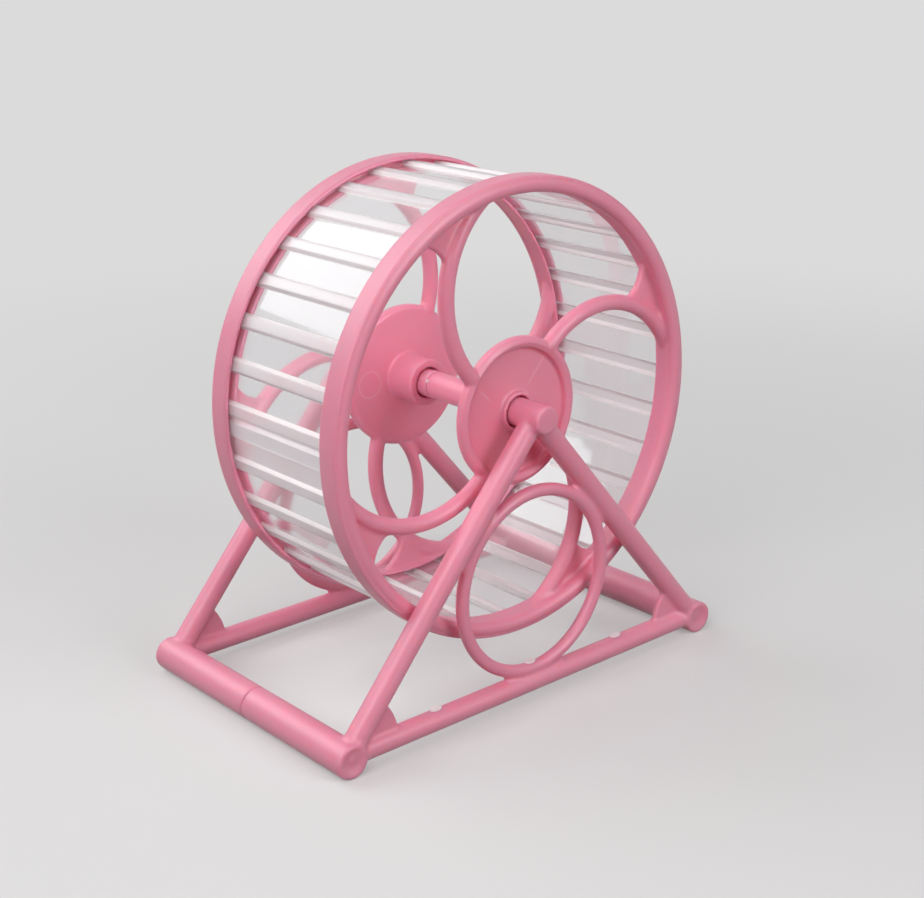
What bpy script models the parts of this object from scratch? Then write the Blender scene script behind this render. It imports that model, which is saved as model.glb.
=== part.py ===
"""Hamster exercise wheel on an A-frame stand, about 13 cm tall.

Two A-shaped stand sides plug together through their cross tubes and their axle
halves. The wheel turns on the axle: two moulded side frames, each a rim, four
curved arms and a dished hub, grip a clear ribbed track strip between them.
Axes: X to the right, Y towards the rear, Z up. The origin is on the floor under
the middle of the stand.
"""
import math

import bmesh
import bpy
from mathutils import Matrix, Vector

MM = 0.001
CLEARANCE = 0.3 * MM
CUT_OVERRUN = 5.0 * MM

# Stand
AXLE_HEIGHT = 75.2 * MM
FOOT_HALF_SPACING = 60.5 * MM
FOOT_TUBE_RADIUS = 4.25 * MM
FOOT_TUBE_HALF_LENGTH = 40.25 * MM
FOOT_TUBE_OVERHANG = 3.25 * MM
LEG_RADIUS = 2.7 * MM
BASE_BAR_RADIUS = 2.6 * MM
BASE_BAR_RISE = 0.4 * MM
RING_WIRE_RADIUS = 1.7 * MM
RING_SINK_IN_LEGS = 0.23 * MM
RING_SINK_IN_BAR = 0.75 * MM
GUSSET_RADIUS = 15.8 * MM
GUSSET_THICKNESS = 1.6 * MM
GUSSET_STEPS = 6
END_EDGE_ROUND = 0.5 * MM
END_DIMPLE_RADIUS = 2.9 * MM
END_DIMPLE_DEPTH = 0.25 * MM

# Plug joints between the front and rear halves
FOOT_SPIGOT_RADIUS = 2.6 * MM
FOOT_SPIGOT_LENGTH = 7.0 * MM
AXLE_SPIGOT_RADIUS = 2.0 * MM
AXLE_SPIGOT_LENGTH = 6.0 * MM

# Axle
AXLE_RADIUS = 3.6 * MM
AXLE_OVERHANG = 4.7 * MM

# Wheel; distances are measured outwards from its mid plane
WHEEL_RADIUS = 58.0 * MM
WHEEL_LEG_GAP = 0.6 * MM
RIM_FACE_DISTANCE = 25.0 * MM
RIM_BAND_WIDTH = 6.3 * MM
RIM_BAND_WALL = 1.12 * MM
RIM_EDGE_ROUND = 0.5 * MM
RIM_BEAD_RADIUS = 1.9 * MM
RIM_BEAD_STAND = 0.4 * MM
RIM_INNER_WALL = 0.8 * MM
TRACK_SLOT_DEPTH = 3.0 * MM

# Hub of a side frame
HUB_RADIUS = 18.8 * MM
HUB_BACK_STAND = 0.4 * MM
HUB_FLOOR_THICKNESS = 1.4 * MM
HUB_LIP_HEIGHT = 2.0 * MM
HUB_LIP_WIDTH = 2.8 * MM
HUB_EDGE_ROUND = 0.8 * MM
BOSS_WALL = 2.1 * MM
BOSS_LENGTH = 9.2 * MM
BOSS_FILLET = 1.0 * MM
BORE_CLEARANCE = 0.5 * MM
NOSE_WALL = 0.9 * MM
NOSE_HEIGHT = 1.4 * MM

# Arms of a side frame; run on, an arm's arc passes just outside the rim and just
# beside the axis, and arc angles are taken at the centre of the arc
ARM_COUNT = 4
ARM_WIRE_RADIUS = 2.05 * MM
ARM_ARC_PAST_RIM = 1.47 * MM
ARM_ARC_BESIDE_AXIS = 2.27 * MM
ARM_ARC_START = math.radians(30.0)
ARM_RIM_INSET = 2.1 * MM
WEB_THICKNESS = 1.8 * MM
WEB_ARC_ANGLE = math.radians(86.0)
WEB_RIM_ANGLE = math.radians(45.7)
WEB_HOLLOW_SHARE = 0.14
WEB_STEPS = 8
FRONT_ARM_PHASE = math.radians(-12.5)
REAR_ARM_PHASE = math.radians(53.0)

# Clear track strip
RIB_COUNT = 32
SHEET_THICKNESS = 0.5 * MM
RIB_HEIGHT = 1.0 * MM
RIB_BASE_HALF_WIDTH = 2.0 * MM
RIB_TOP_HALF_WIDTH = 1.4 * MM
FIRST_RIB_ANGLE = math.radians(191.5)
LAST_RIB_ANGLE = math.radians(537.0)
OVER_TAB_LENGTH = 6.8 * MM
TAB_STEP_LENGTH = 0.8 * MM

# Facet counts
FOOT_SIDES = 20
ROD_SIDES = 20
RING_SIDES = 10
RING_SEGMENTS = 40
RIM_SEGMENTS = 64
HUB_SEGMENTS = 40
ARM_SIDES = 12
ARM_SEGMENTS = 14
FLAT_SEGMENTS = 2

# Stand: the planes of its sides, and the triangle of legs and bar the ring fits in
FOOT_HEIGHT = FOOT_TUBE_RADIUS * math.cos(math.pi / FOOT_SIDES)
LEG_RISE = AXLE_HEIGHT - FOOT_HEIGHT
LEG_SLOPE_SHARE = FOOT_HALF_SPACING / math.hypot(FOOT_HALF_SPACING, LEG_RISE)
BASE_BAR_HEIGHT = FOOT_HEIGHT + BASE_BAR_RISE
SIDE_PLANE_DISTANCE = FOOT_TUBE_HALF_LENGTH - FOOT_TUBE_OVERHANG
AXLE_HALF_LENGTH = SIDE_PLANE_DISTANCE + AXLE_OVERHANG
RING_TO_LEG = RING_WIRE_RADIUS + LEG_RADIUS - RING_SINK_IN_LEGS
RING_TO_BAR = RING_WIRE_RADIUS + BASE_BAR_RADIUS - RING_SINK_IN_BAR
RING_ROOM = (AXLE_HEIGHT - BASE_BAR_HEIGHT - RING_TO_BAR) * LEG_SLOPE_SHARE - RING_TO_LEG
RING_RADIUS = RING_ROOM / (1.0 + LEG_SLOPE_SHARE)
RING_HEIGHT = BASE_BAR_HEIGHT + RING_TO_BAR + RING_RADIUS

# Wheel: slid forward until its beads all but touch the front legs
RIM_BACK_DISTANCE = RIM_FACE_DISTANCE - RIM_BAND_WIDTH
WHEEL_ROOM = SIDE_PLANE_DISTANCE - LEG_RADIUS - WHEEL_LEG_GAP
WHEEL_FORWARD_SHIFT = WHEEL_ROOM - RIM_FACE_DISTANCE - RIM_BEAD_STAND

# Rim and track: from the outside of the band inwards, with the ribs in the slot
SLOT_OUTER_RADIUS = WHEEL_RADIUS - RIM_BAND_WALL
RIB_TOP_RADIUS = SLOT_OUTER_RADIUS - CLEARANCE
SHEET_OUTER_RADIUS = RIB_TOP_RADIUS - RIB_HEIGHT
SHEET_INNER_RADIUS = SHEET_OUTER_RADIUS - SHEET_THICKNESS
SLOT_INNER_RADIUS = SHEET_INNER_RADIUS - CLEARANCE
WALL_INNER_RADIUS = SLOT_INNER_RADIUS - RIM_INNER_WALL
RIM_INNER_RADIUS = WALL_INNER_RADIUS - RIM_BEAD_RADIUS * (1.0 - math.cos(math.radians(25.0)))
TRACK_HALF_WIDTH = RIM_BACK_DISTANCE + TRACK_SLOT_DEPTH - CLEARANCE

# Arms and hub: the arms run into the rim, and the hub sits round their inner ends
ARM_PLANE_DISTANCE = RIM_BACK_DISTANCE + ARM_RIM_INSET
ARM_ARC_RADIUS = (WHEEL_RADIUS + ARM_ARC_PAST_RIM - ARM_ARC_BESIDE_AXIS) / 2.0
ARM_ARC_CENTRE = ARM_ARC_RADIUS + ARM_ARC_BESIDE_AXIS
HUB_BACK_DISTANCE = ARM_PLANE_DISTANCE - HUB_BACK_STAND
HUB_FLOOR_DISTANCE = HUB_BACK_DISTANCE + HUB_FLOOR_THICKNESS
BORE_RADIUS = AXLE_RADIUS + BORE_CLEARANCE
BOSS_RADIUS = BORE_RADIUS + BOSS_WALL

PINK = (0.879, 0.347, 0.474, 1.0)
CLEAR = (0.86, 0.87, 0.88, 0.3)


def clear_scene():
    """Start from an empty scene."""
    for item in list(bpy.data.objects):
        bpy.data.objects.remove(item, do_unlink=True)


def plastic(name, colour, roughness):
    """A plain moulded plastic; an alpha under one makes it see-through."""
    mat = bpy.data.materials.new(name)
    mat.use_nodes = True
    shader = mat.node_tree.nodes["Principled BSDF"]
    shader.inputs["Base Color"].default_value = colour
    shader.inputs["Roughness"].default_value = roughness
    shader.inputs["Metallic"].default_value = 0.0
    shader.inputs["Alpha"].default_value = colour[3]
    return mat


def mesh_from(bm, name):
    """Turn a bmesh into mesh data with outward faces and smooth round walls."""
    bmesh.ops.recalc_face_normals(bm, faces=bm.faces)
    mesh = bpy.data.meshes.new(name)
    bm.to_mesh(mesh)
    bm.free()
    mesh.shade_smooth()
    mesh.set_sharp_from_angle(angle=math.radians(40.0))
    return mesh


def add_piece(name, mesh, mat, parent=None, turn=(0.0, 0.0, 0.0)):
    """Place one named piece under its parent."""
    piece = bpy.data.objects.new(name, mesh)
    bpy.context.collection.objects.link(piece)
    if mat and not mesh.materials:
        mesh.materials.append(mat)
    piece.parent = parent
    piece.rotation_euler = turn
    return piece


def add_cutter(name, mesh, parent=None):
    """A hidden guide solid that other pieces are cut by."""
    cutter = bpy.data.objects.new(name, mesh)
    bpy.context.collection.objects.link(cutter)
    cutter.parent = parent
    cutter.hide_render = True
    cutter.display_type = "WIRE"
    return cutter


def combine(piece, other, operation):
    """Join to or cut by another solid, exactly."""
    step = piece.modifiers.new(other.name, "BOOLEAN")
    step.operation = operation
    step.solver = "EXACT"
    step.object = other


def baked_mesh(piece, name):
    """The mesh of a piece with its modifiers applied."""
    depsgraph = bpy.context.evaluated_depsgraph_get()
    mesh = bpy.data.meshes.new_from_object(piece.evaluated_get(depsgraph))
    mesh.name = name
    return mesh


def turned(name, profile, sides, half_step=False):
    """Turn a closed (radius, outward) profile about the Y axis.

    Outward is towards minus Y. With half_step a facet, not an edge, faces down.
    A profile that starts and ends on the axis makes a solid without a bore.
    """
    bm = bmesh.new()
    rows = []
    for radius, outward in profile:
        if radius == 0.0:
            rows.append([bm.verts.new((0.0, -outward, 0.0))] * sides)
            continue
        row = []
        for step in range(sides):
            angle = 2.0 * math.pi * (step + (0.5 if half_step else 0.0)) / sides - math.pi / 2.0
            place = (radius * math.cos(angle), -outward, radius * math.sin(angle))
            row.append(bm.verts.new(place))
        rows.append(row)
    on_axis = profile[0][0] == 0.0
    pairs = list(zip(rows, rows[1:]))
    if not on_axis:
        pairs.append((rows[-1], rows[0]))
    for row, following in pairs:
        for step in range(sides):
            after = (step + 1) % sides
            corners = [row[step], row[after], following[after], following[step]]
            bm.faces.new(list(dict.fromkeys(corners)))
    return mesh_from(bm, name)


def rod_mesh(name, start, end, radius, sides=ROD_SIDES):
    """A round rod between two points."""
    bm = bmesh.new()
    run = Vector(end) - Vector(start)
    middle = (Vector(start) + Vector(end)) / 2.0
    turn = run.to_track_quat("Z", "Y").to_matrix().to_4x4()
    bmesh.ops.create_cone(bm, cap_ends=True, segments=sides, radius1=radius, radius2=radius,
                          depth=run.length, matrix=Matrix.Translation(middle) @ turn)
    return mesh_from(bm, name)


def plate_mesh(name, outline, depth_low, depth_high):
    """A flat plate: an outline in X and Z, thick along Y."""
    bm = bmesh.new()
    low = [bm.verts.new((x, depth_low, z)) for x, z in outline]
    high = [bm.verts.new((x, depth_high, z)) for x, z in outline]
    bm.faces.new(low)
    bm.faces.new(high)
    for step in range(len(outline)):
        after = (step + 1) % len(outline)
        bm.faces.new([low[step], low[after], high[after], high[step]])
    return mesh_from(bm, name)


def ring_mesh(name, radius, wire_radius, height, depth):
    """A round wire ring standing in an XZ plane."""
    bm = bmesh.new()
    rows = []
    for segment in range(RING_SEGMENTS):
        around = 2.0 * math.pi * segment / RING_SEGMENTS
        row = []
        for side in range(RING_SIDES):
            across = 2.0 * math.pi * side / RING_SIDES
            reach = radius + wire_radius * math.cos(across)
            row.append(bm.verts.new((reach * math.cos(around), depth + wire_radius * math.sin(across),
                                     height + reach * math.sin(around))))
        rows.append(row)
    for segment, row in enumerate(rows):
        following = rows[(segment + 1) % RING_SEGMENTS]
        for side in range(RING_SIDES):
            after = (side + 1) % RING_SIDES
            bm.faces.new([row[side], row[after], following[after], following[side]])
    return mesh_from(bm, name)


def foot_half_profile(has_spigot):
    """Half a cross tube: dimpled outer end, and a spigot or a socket at the seam."""
    end = FOOT_TUBE_HALF_LENGTH
    seam = CLEARANCE / 2.0
    profile = [(0.0, end - END_DIMPLE_DEPTH),
               (END_DIMPLE_RADIUS - END_DIMPLE_DEPTH, end - END_DIMPLE_DEPTH),
               (END_DIMPLE_RADIUS, end),
               (FOOT_TUBE_RADIUS - END_EDGE_ROUND, end),
               (FOOT_TUBE_RADIUS, end - END_EDGE_ROUND),
               (FOOT_TUBE_RADIUS, seam)]
    if has_spigot:
        tip = -FOOT_SPIGOT_LENGTH
        profile += [(FOOT_SPIGOT_RADIUS, seam),
                    (FOOT_SPIGOT_RADIUS, tip + END_EDGE_ROUND),
                    (FOOT_SPIGOT_RADIUS - END_EDGE_ROUND, tip),
                    (0.0, tip)]
    else:
        bottom = FOOT_SPIGOT_LENGTH + CLEARANCE
        profile += [(FOOT_SPIGOT_RADIUS + CLEARANCE, seam),
                    (FOOT_SPIGOT_RADIUS + CLEARANCE, bottom),
                    (0.0, bottom)]
    return profile


def axle_half_profile(has_spigot):
    """Half the axle, with its rounded outer end and its plug joint at the seam."""
    end = AXLE_HALF_LENGTH
    seam = CLEARANCE / 2.0
    profile = [(0.0, end),
               (AXLE_RADIUS - END_EDGE_ROUND, end),
               (AXLE_RADIUS, end - END_EDGE_ROUND),
               (AXLE_RADIUS, seam)]
    if has_spigot:
        tip = -AXLE_SPIGOT_LENGTH
        profile += [(AXLE_SPIGOT_RADIUS, seam),
                    (AXLE_SPIGOT_RADIUS, tip + END_EDGE_ROUND),
                    (AXLE_SPIGOT_RADIUS - END_EDGE_ROUND, tip),
                    (0.0, tip)]
    else:
        bottom = AXLE_SPIGOT_LENGTH + CLEARANCE
        profile += [(AXLE_SPIGOT_RADIUS + CLEARANCE, seam),
                    (AXLE_SPIGOT_RADIUS + CLEARANCE, bottom),
                    (0.0, bottom)]
    return profile


def leg_mesh(name, side, depth):
    """One leg from the axle to a foot tube, halved where it meets its twin."""
    mesh = rod_mesh(name, (0.0, depth, AXLE_HEIGHT),
                    (side * FOOT_HALF_SPACING, depth, FOOT_HEIGHT), LEG_RADIUS)
    bm = bmesh.new()
    bm.from_mesh(mesh)
    bpy.data.meshes.remove(mesh)
    cut = bmesh.ops.bisect_plane(bm, geom=bm.verts[:] + bm.edges[:] + bm.faces[:],
                                 plane_co=(side * CLEARANCE / 2.0, 0.0, 0.0),
                                 plane_no=(-side, 0.0, 0.0), clear_outer=True)
    rim = [item for item in cut["geom_cut"] if isinstance(item, bmesh.types.BMEdge)]
    bmesh.ops.edgeloop_fill(bm, edges=rim)
    return mesh_from(bm, name)


def gusset_outline(side):
    """Quarter-round web in the corner between a leg and the base bar."""
    corner = (side * FOOT_HALF_SPACING, FOOT_HEIGHT)
    lean = math.atan2(LEG_RISE, FOOT_HALF_SPACING)
    arc = []
    for step in range(GUSSET_STEPS + 1):
        angle = lean * step / GUSSET_STEPS
        arc.append((corner[0] - side * GUSSET_RADIUS * math.cos(angle),
                    corner[1] + GUSSET_RADIUS * math.sin(angle)))
    return [corner] + arc


def base_bar(name, depth, mat, cutters):
    """The bar along the floor with a gusset at each end, as one moulding."""
    half = GUSSET_THICKNESS / 2.0
    bar = add_piece(name, rod_mesh(name, (-FOOT_HALF_SPACING, depth, BASE_BAR_HEIGHT),
                                   (FOOT_HALF_SPACING, depth, BASE_BAR_HEIGHT), BASE_BAR_RADIUS), mat)
    for side, label in ((-1.0, "left"), (1.0, "right")):
        web = add_cutter(f"{name}_{label}_gusset",
                         plate_mesh(f"{name}_{label}_gusset", gusset_outline(side),
                                    depth - half, depth + half))
        combine(bar, web, "UNION")
    for cutter in cutters:
        combine(bar, cutter, "DIFFERENCE")
    return bar


def build_stand(mat):
    """Both stand sides: legs, base bar, ring, foot tube halves and axle half."""
    open_axle = AXLE_RADIUS + CLEARANCE
    open_foot = FOOT_TUBE_RADIUS + CLEARANCE
    open_leg = LEG_RADIUS + CLEARANCE
    open_bar = BASE_BAR_RADIUS + CLEARANCE
    for label, facing in (("front", -1.0), ("rear", 1.0)):
        depth = facing * SIDE_PLANE_DISTANCE
        turn = (0.0, 0.0, 0.0 if facing < 0.0 else math.pi)
        past = facing * (AXLE_HALF_LENGTH + CUT_OVERRUN)
        axle_room = add_cutter(f"{label}_axle_room", rod_mesh(
            f"{label}_axle_room", (0.0, 0.0, AXLE_HEIGHT), (0.0, past, AXLE_HEIGHT), open_axle))
        bar_room = add_cutter(f"{label}_bar_room", rod_mesh(
            f"{label}_bar_room", (-FOOT_HALF_SPACING, depth, BASE_BAR_HEIGHT),
            (FOOT_HALF_SPACING, depth, BASE_BAR_HEIGHT), open_bar))
        foot_rooms = {}
        for side in (-1.0, 1.0):
            across = side * FOOT_HALF_SPACING
            foot_rooms[side] = add_cutter(f"{label}_foot_room", rod_mesh(
                f"{label}_foot_room", (across, 0.0, FOOT_HEIGHT), (across, past, FOOT_HEIGHT),
                open_foot, FOOT_SIDES))
        leg_rooms = []
        for side, hand in ((-1.0, "left"), (1.0, "right")):
            leg = add_piece(f"{label}_{hand}_leg", leg_mesh(f"{label}_{hand}_leg", side, depth), mat)
            combine(leg, axle_room, "DIFFERENCE")
            combine(leg, foot_rooms[side], "DIFFERENCE")
            leg_rooms.append(add_cutter(f"{label}_{hand}_leg_room", rod_mesh(
                f"{label}_{hand}_leg_room", (0.0, depth, AXLE_HEIGHT),
                (side * FOOT_HALF_SPACING, depth, FOOT_HEIGHT), open_leg)))
            foot = add_piece(f"{label}_{hand}_foot_tube", turned(
                f"{label}_{hand}_foot_tube", foot_half_profile(side * facing > 0.0),
                FOOT_SIDES, half_step=True), mat, turn=turn)
            foot.location = (side * FOOT_HALF_SPACING, 0.0, FOOT_HEIGHT)
        base_bar(f"{label}_base_bar", depth, mat, [foot_rooms[-1.0], foot_rooms[1.0]] + leg_rooms)
        ring = add_piece(f"{label}_ring", ring_mesh(
            f"{label}_ring", RING_RADIUS, RING_WIRE_RADIUS, RING_HEIGHT, depth), mat)
        for room in leg_rooms + [bar_room]:
            combine(ring, room, "DIFFERENCE")
        axle = add_piece(f"{label}_axle", turned(
            f"{label}_axle", axle_half_profile(facing < 0.0), ROD_SIDES), mat, turn=turn)
        axle.location = (0.0, 0.0, AXLE_HEIGHT)


def rim_profile():
    """U-shaped rim: band, beaded face, inner wall, and the slot the track sits in."""
    back = RIM_BACK_DISTANCE
    face = RIM_FACE_DISTANCE
    slot_end = back + TRACK_SLOT_DEPTH
    bead_radius = RIM_INNER_RADIUS + RIM_BEAD_RADIUS
    bead_distance = face + RIM_BEAD_STAND - RIM_BEAD_RADIUS
    profile = [(WALL_INNER_RADIUS, back),
               (SLOT_INNER_RADIUS, back),
               (SLOT_INNER_RADIUS, slot_end),
               (SLOT_OUTER_RADIUS, slot_end),
               (SLOT_OUTER_RADIUS, back),
               (WHEEL_RADIUS - RIM_EDGE_ROUND, back),
               (WHEEL_RADIUS, back + RIM_EDGE_ROUND),
               (WHEEL_RADIUS, face - RIM_EDGE_ROUND),
               (WHEEL_RADIUS - RIM_EDGE_ROUND, face)]
    for degrees in (35.0, 62.0, 90.0, 118.0, 148.0, 180.0, 205.0):
        angle = math.radians(degrees)
        profile.append((bead_radius + RIM_BEAD_RADIUS * math.cos(angle),
                        bead_distance + RIM_BEAD_RADIUS * math.sin(angle)))
    return profile


def hub_profile():
    """Dished hub disc with a raised lip, a short nose and a long bearing boss."""
    back = HUB_BACK_DISTANCE
    floor = HUB_FLOOR_DISTANCE
    crest = floor + HUB_LIP_HEIGHT
    lip_middle = HUB_RADIUS - HUB_LIP_WIDTH / 2.0
    lip_inner = HUB_RADIUS - HUB_LIP_WIDTH
    nose_radius = BORE_RADIUS + NOSE_WALL
    nose_end = floor + NOSE_HEIGHT
    boss_end = back - BOSS_LENGTH
    return [(BORE_RADIUS, boss_end),
            (BOSS_RADIUS - END_EDGE_ROUND, boss_end),
            (BOSS_RADIUS, boss_end + END_EDGE_ROUND),
            (BOSS_RADIUS, back - BOSS_FILLET),
            (BOSS_RADIUS + BOSS_FILLET, back),
            (HUB_RADIUS - HUB_EDGE_ROUND, back),
            (HUB_RADIUS, back + HUB_EDGE_ROUND),
            (HUB_RADIUS, crest - HUB_EDGE_ROUND),
            (lip_middle, crest),
            (lip_inner, crest - HUB_EDGE_ROUND),
            (lip_inner, floor),
            (nose_radius, floor),
            (nose_radius, nose_end),
            (BORE_RADIUS, nose_end)]


def arm_point(angle, reach):
    """A point beside the arm's arc, whose centre lies out along X."""
    return (ARM_ARC_CENTRE + reach * math.cos(angle), reach * math.sin(angle))


def arm_mesh():
    """One curved arm with its web, cut to fit between hub and rim.

    The arm is a round bar bent to one arc. It leaves the hub, sweeps round and
    runs into the rim, and a thin web fills the narrow corner it makes there.
    """
    reach_to_hub = (HUB_RADIUS - HUB_LIP_WIDTH) ** 2 - ARM_ARC_CENTRE ** 2 - ARM_ARC_RADIUS ** 2
    hub_angle = math.acos(reach_to_hub / (2.0 * ARM_ARC_CENTRE * ARM_ARC_RADIUS))
    bm = bmesh.new()
    rows = []
    for segment in range(ARM_SEGMENTS + 1):
        angle = ARM_ARC_START + (hub_angle - ARM_ARC_START) * segment / ARM_SEGMENTS
        row = []
        for side in range(ARM_SIDES):
            across = 2.0 * math.pi * side / ARM_SIDES
            x, z = arm_point(angle, ARM_ARC_RADIUS + ARM_WIRE_RADIUS * math.cos(across))
            row.append(bm.verts.new((x, -ARM_PLANE_DISTANCE + ARM_WIRE_RADIUS * math.sin(across), z)))
        rows.append(row)
    for row, following in zip(rows, rows[1:]):
        for side in range(ARM_SIDES):
            after = (side + 1) % ARM_SIDES
            bm.faces.new([row[side], row[after], following[after], following[side]])
    bm.faces.new(rows[0])
    bm.faces.new(rows[-1])
    blank = add_piece("arm_blank", mesh_from(bm, "arm_blank"), None)

    outline = []
    for step in range(WEB_STEPS + 1):
        angle = WEB_ARC_ANGLE + (ARM_ARC_START - WEB_ARC_ANGLE) * step / WEB_STEPS
        outline.append(arm_point(angle, ARM_ARC_RADIUS))
    past_angle = math.atan2(outline[-1][1], outline[-1][0])
    for step in range(1, WEB_STEPS + 1):
        angle = past_angle + (WEB_RIM_ANGLE - past_angle) * step / WEB_STEPS
        outline.append((WHEEL_RADIUS * math.cos(angle), WHEEL_RADIUS * math.sin(angle)))
    wall = (RIM_INNER_RADIUS * math.cos(WEB_RIM_ANGLE), RIM_INNER_RADIUS * math.sin(WEB_RIM_ANGLE))
    run = (outline[0][0] - wall[0], outline[0][1] - wall[1])
    for share, bow in ((0.0, 0.0), (0.25, 0.75), (0.5, 1.0), (0.75, 0.75)):
        outline.append((wall[0] + run[0] * share - run[1] * WEB_HOLLOW_SHARE * bow,
                        wall[1] + run[1] * share + run[0] * WEB_HOLLOW_SHARE * bow))
    half = WEB_THICKNESS / 2.0
    web = add_cutter("arm_web", plate_mesh("arm_web", outline, -ARM_PLANE_DISTANCE - half,
                                           -ARM_PLANE_DISTANCE + half))
    near = ARM_PLANE_DISTANCE - 2.0 * ARM_WIRE_RADIUS
    far = ARM_PLANE_DISTANCE + 2.0 * ARM_WIRE_RADIUS
    open_rim = RIM_INNER_RADIUS - CLEARANCE
    past_rim = WHEEL_RADIUS + CUT_OVERRUN
    rim_room = add_cutter("rim_room", turned(
        "rim_room", [(open_rim, near), (past_rim, near), (past_rim, far), (open_rim, far)],
        RIM_SEGMENTS))
    open_hub = HUB_RADIUS + CLEARANCE
    hub_room = add_cutter("hub_room", turned(
        "hub_room", [(0.0, near), (open_hub, near), (open_hub, far), (0.0, far)], HUB_SEGMENTS))
    combine(blank, web, "UNION")
    combine(blank, rim_room, "DIFFERENCE")
    combine(blank, hub_room, "DIFFERENCE")
    mesh = baked_mesh(blank, "wheel_arm")
    for helper in (blank, web, rim_room, hub_room):
        bpy.data.objects.remove(helper, do_unlink=True)
    return mesh


def track_stations():
    """Pairs of (angle, radius), inner then outer, along the bent strip."""
    inner = SHEET_INNER_RADIUS
    outer = SHEET_OUTER_RADIUS
    lift = SHEET_THICKNESS + CLEARANCE
    pitch = (LAST_RIB_ANGLE - FIRST_RIB_ANGLE) / (RIB_COUNT - 1)
    flat = pitch - 2.0 * RIB_BASE_HALF_WIDTH / outer
    step_start = LAST_RIB_ANGLE + (RIB_BASE_HALF_WIDTH + SHEET_THICKNESS) / outer
    step_end = step_start + TAB_STEP_LENGTH / outer
    tab_end = LAST_RIB_ANGLE + OVER_TAB_LENGTH / outer
    under_tab_end = step_end + CLEARANCE / inner - 2.0 * math.pi
    stations = [((under_tab_end, inner), (under_tab_end, outer))]
    for rib in range(RIB_COUNT):
        middle = FIRST_RIB_ANGLE + pitch * rib
        for side in (-1.0, 1.0):
            base = middle + side * RIB_BASE_HALF_WIDTH / outer
            top = middle + side * RIB_TOP_HALF_WIDTH / outer
            hollow = side * SHEET_THICKNESS / outer
            foot = ((base - hollow, inner), (base, outer))
            crown = ((top - hollow, inner + RIB_HEIGHT), (top, outer + RIB_HEIGHT))
            stations += [foot, crown] if side < 0.0 else [crown, foot]
        if rib < RIB_COUNT - 1:
            start = middle + RIB_BASE_HALF_WIDTH / outer
            for step in range(1, FLAT_SEGMENTS):
                angle = start + flat * step / FLAT_SEGMENTS
                stations.append(((angle, inner), (angle, outer)))
    stations.append(((step_start, inner), (step_start, outer)))
    for angle in (step_end, tab_end):
        stations.append(((angle, inner + lift), (angle, outer + lift)))
    return stations


def track_mesh():
    """The clear strip: hat-shaped ribs, bent to a drum whose ends overlap."""
    bm = bmesh.new()
    rows = []
    for (inner_angle, inner_radius), (outer_angle, outer_radius) in track_stations():
        row = []
        for depth in (-TRACK_HALF_WIDTH, TRACK_HALF_WIDTH):
            for angle, radius in ((inner_angle, inner_radius), (outer_angle, outer_radius)):
                row.append(bm.verts.new((radius * math.cos(angle), depth, radius * math.sin(angle))))
        rows.append([row[0], row[1], row[3], row[2]])
    for row, following in zip(rows, rows[1:]):
        for corner in range(4):
            after = (corner + 1) % 4
            bm.faces.new([row[corner], row[after], following[after], following[corner]])
    bm.faces.new(rows[0])
    bm.faces.new(rows[-1])
    return mesh_from(bm, "track_strip")


def build_wheel(pink, clear):
    """The wheel under an empty on the axle: two side frames and the track."""
    axis = bpy.data.objects.new("wheel_axis", None)
    bpy.context.collection.objects.link(axis)
    axis.location = (0.0, -WHEEL_FORWARD_SHIFT, AXLE_HEIGHT)
    rim = turned("wheel_rim", rim_profile(), RIM_SEGMENTS)
    hub = turned("wheel_hub", hub_profile(), HUB_SEGMENTS)
    arm = arm_mesh()
    for label, facing, phase in (("front", 0.0, FRONT_ARM_PHASE), ("rear", math.pi, REAR_ARM_PHASE)):
        add_piece(f"{label}_rim", rim, pink, axis, (0.0, 0.0, facing))
        add_piece(f"{label}_hub", hub, pink, axis, (0.0, 0.0, facing))
        for number in range(ARM_COUNT):
            turn = -(phase + 2.0 * math.pi * number / ARM_COUNT)
            add_piece(f"{label}_arm_{number + 1}", arm, pink, axis, (0.0, turn, facing))
    add_piece("track_strip", track_mesh(), clear, axis)


clear_scene()
PINK_PLASTIC = plastic("pink_polystyrene", PINK, 0.32)
CLEAR_PLASTIC = plastic("clear_styrene_sheet", CLEAR, 0.12)
build_stand(PINK_PLASTIC)
build_wheel(PINK_PLASTIC, CLEAR_PLASTIC)
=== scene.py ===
import math

import bmesh
import bpy
from mathutils import Matrix, Vector


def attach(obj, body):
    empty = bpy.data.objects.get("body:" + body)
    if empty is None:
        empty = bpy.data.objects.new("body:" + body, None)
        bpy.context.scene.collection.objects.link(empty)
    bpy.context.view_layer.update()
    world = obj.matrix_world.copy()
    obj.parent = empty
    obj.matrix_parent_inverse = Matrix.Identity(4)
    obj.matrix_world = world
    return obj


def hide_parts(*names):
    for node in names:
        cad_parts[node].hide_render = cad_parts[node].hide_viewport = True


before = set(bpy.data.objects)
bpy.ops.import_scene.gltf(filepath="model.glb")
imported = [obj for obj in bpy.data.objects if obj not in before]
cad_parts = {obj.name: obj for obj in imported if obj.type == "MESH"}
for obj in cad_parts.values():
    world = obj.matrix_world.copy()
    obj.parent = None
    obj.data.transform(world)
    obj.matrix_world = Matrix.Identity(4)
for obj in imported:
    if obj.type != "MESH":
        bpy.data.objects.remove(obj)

bpy.ops.object.select_all(action="DESELECT")
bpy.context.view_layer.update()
MM = 0.001

# Camera
# The photograph's own viewpoint, fitted from the circles of the wheel and the
# corners of the stand: a little above the wheel, looking past its left edge.
CAMERA_PLACE = Vector((-0.267091, -0.316232, 0.197561))
CAMERA_AZIMUTH = math.radians(-41.094)
CAMERA_ELEVATION = math.radians(18.675)
CAMERA_ROLL = math.radians(-0.465)
CAMERA_LENS_MM = 64.906

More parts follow.
